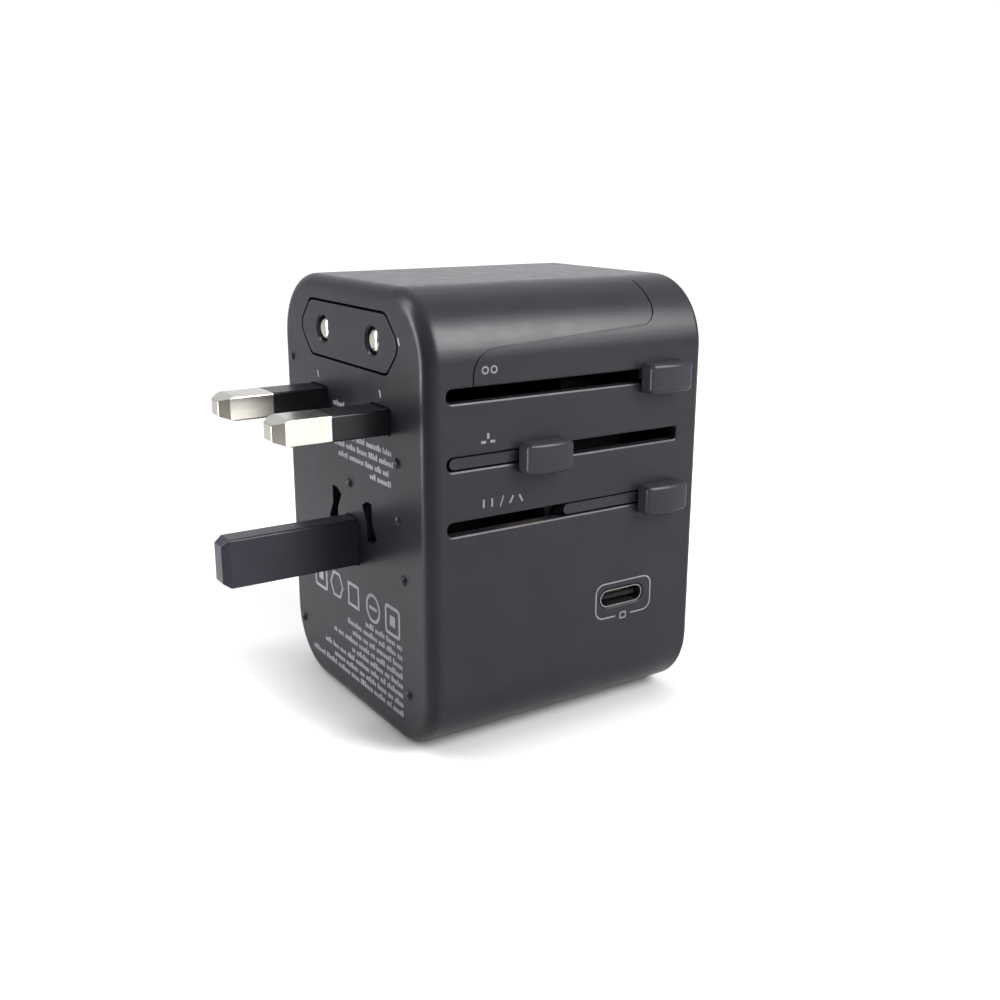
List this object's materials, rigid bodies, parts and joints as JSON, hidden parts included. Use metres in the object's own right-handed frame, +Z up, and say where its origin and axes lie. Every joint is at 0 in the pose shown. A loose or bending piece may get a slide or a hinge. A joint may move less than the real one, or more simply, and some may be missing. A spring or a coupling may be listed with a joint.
{
  "type": "universal travel adapter",
  "caption": "Rounded block travel adapter with slide-out British, European and American or Australian plugs, a universal socket and a USB-C port.",
  "frame": {"origin": "centre of the flat face that the adapter rests on", "axes": "+X from the plug face to the socket face, -Y the face with the sliders, +Z up"},
  "size_m": [0.0746, 0.0546, 0.0725],
  "materials": {
    "casing_plastic": "fine satin moulding",
    "knob_plastic": "satin moulding",
    "earth_pin_plastic": "satin moulding",
    "sleeve_plastic": "smooth black insulation",
    "inner_plastic": "plain black moulding",
    "shutter_plastic": "smooth dark moulding",
    "nickel_plate": "bright nickel plate on brass",
    "contact_brass": "sheet brass",
    "contact_gold": "thin gold plate",
    "spring_steel": "bright drawn steel",
    "screw_steel": "zinc-plated steel",
    "usb_steel": "drawn stainless steel",
    "board_laminate": "green solder mask",
    "chip_black": "moulded epoxy",
    "ferrite": "sintered ferrite",
    "winding_tape": "yellow polyester tape",
    "capacitor_can": "sleeved can",
    "fuse_ceramic": "white ceramic tube",
    "wire_insulation": "flexible insulation",
    "print_ink": "thin pale grey print"
  },
  "bodies": {
    "housing": {"block_screws": "screw_steel", "board_chips": "chip_black", "board_screws": "screw_steel", "capacitors": "capacitor_can", "charger_board": "board_laminate", "contact_block": "inner_plastic", "eu_contacts": "contact_brass", "fuse_caps": "nickel_plate", "fuse_clips": "contact_brass", "fuse_tube": "fuse_ceramic", "line_busbar": "contact_brass", "line_contact": "contact_brass", "main_housing": "casing_plastic", "neutral_busbar": "contact_brass", "neutral_contact": "contact_brass", "shutter_springs": "spring_steel", "slider_frame": "inner_plastic", "socket_cover": "casing_plastic", "supply_wires": "wire_insulation", "transformer_core": "ferrite", "transformer_winding": "winding_tape", "usb_pads": "contact_gold", "usb_shell": "usb_steel", "usb_tongue": "inner_plastic"},
    "eu_neck": {"eu_neck": "casing_plastic"},
    "eu_pins": {"eu_pin_plate": "inner_plastic", "eu_line_pin": "nickel_plate", "eu_neutral_pin": "nickel_plate", "eu_knob": "knob_plastic", "eu_detent": "spring_steel"},
    "uk_plug": {"uk_carrier": "knob_plastic", "uk_carrier_cap": "inner_plastic", "uk_earth_pin": "earth_pin_plastic", "uk_contacts": "contact_brass", "uk_knob": "knob_plastic", "uk_detent": "spring_steel", "uk_line_pin": "nickel_plate", "uk_neutral_pin": "nickel_plate", "uk_line_sleeve": "sleeve_plastic", "uk_neutral_sleeve": "sleeve_plastic"},
    "us_plug": {"us_carrier": "knob_plastic", "us_carrier_cap": "inner_plastic", "us_contacts": "contact_brass", "us_knob": "knob_plastic", "us_detent": "spring_steel"},
    "us_line_blade": {"us_line_blade": "nickel_plate", "us_line_hub": "inner_plastic"},
    "us_neutral_blade": {"us_neutral_blade": "nickel_plate", "us_neutral_hub": "inner_plastic"},
    "shutter": {"socket_shutter": "shutter_plastic"}
  },
  "joints": [
    {"name": "eu_neck_slide", "type": "slide", "parent": "housing", "child": "eu_neck", "axis": [-1, 0, 0], "range_m": [0, 0.0164]},
    {"name": "eu_pin_slide", "type": "slide", "parent": "eu_neck", "child": "eu_pins", "axis": [-1, 0, 0], "range_m": [0, 0.019]},
    {"name": "uk_plug_slide", "type": "slide", "parent": "housing", "child": "uk_plug", "axis": [1, 0, 0], "range_m": [0, 0.0232]},
    {"name": "us_plug_slide", "type": "slide", "parent": "housing", "child": "us_plug", "axis": [-1, 0, 0], "range_m": [0, 0.0207]},
    {"name": "us_line_blade_turn", "type": "hinge", "parent": "us_plug", "child": "us_line_blade", "pos_m": [-0.0028, -0.00635, 0.0345], "axis": [-1, 0, 0], "range_deg": [0, 30]},
    {"name": "us_neutral_blade_turn", "type": "hinge", "parent": "us_plug", "child": "us_neutral_blade", "pos_m": [-0.0028, 0.00635, 0.0345], "axis": [1, 0, 0], "range_deg": [0, 30]},
    {"name": "shutter_slide", "type": "slide", "parent": "housing", "child": "shutter", "axis": [0, 0, -1], "range_m": [0, 0.0076], "stiffness_N_per_m": 120, "springref_m": -0.004, "deforming": ["shutter_springs"]}
  ]
}
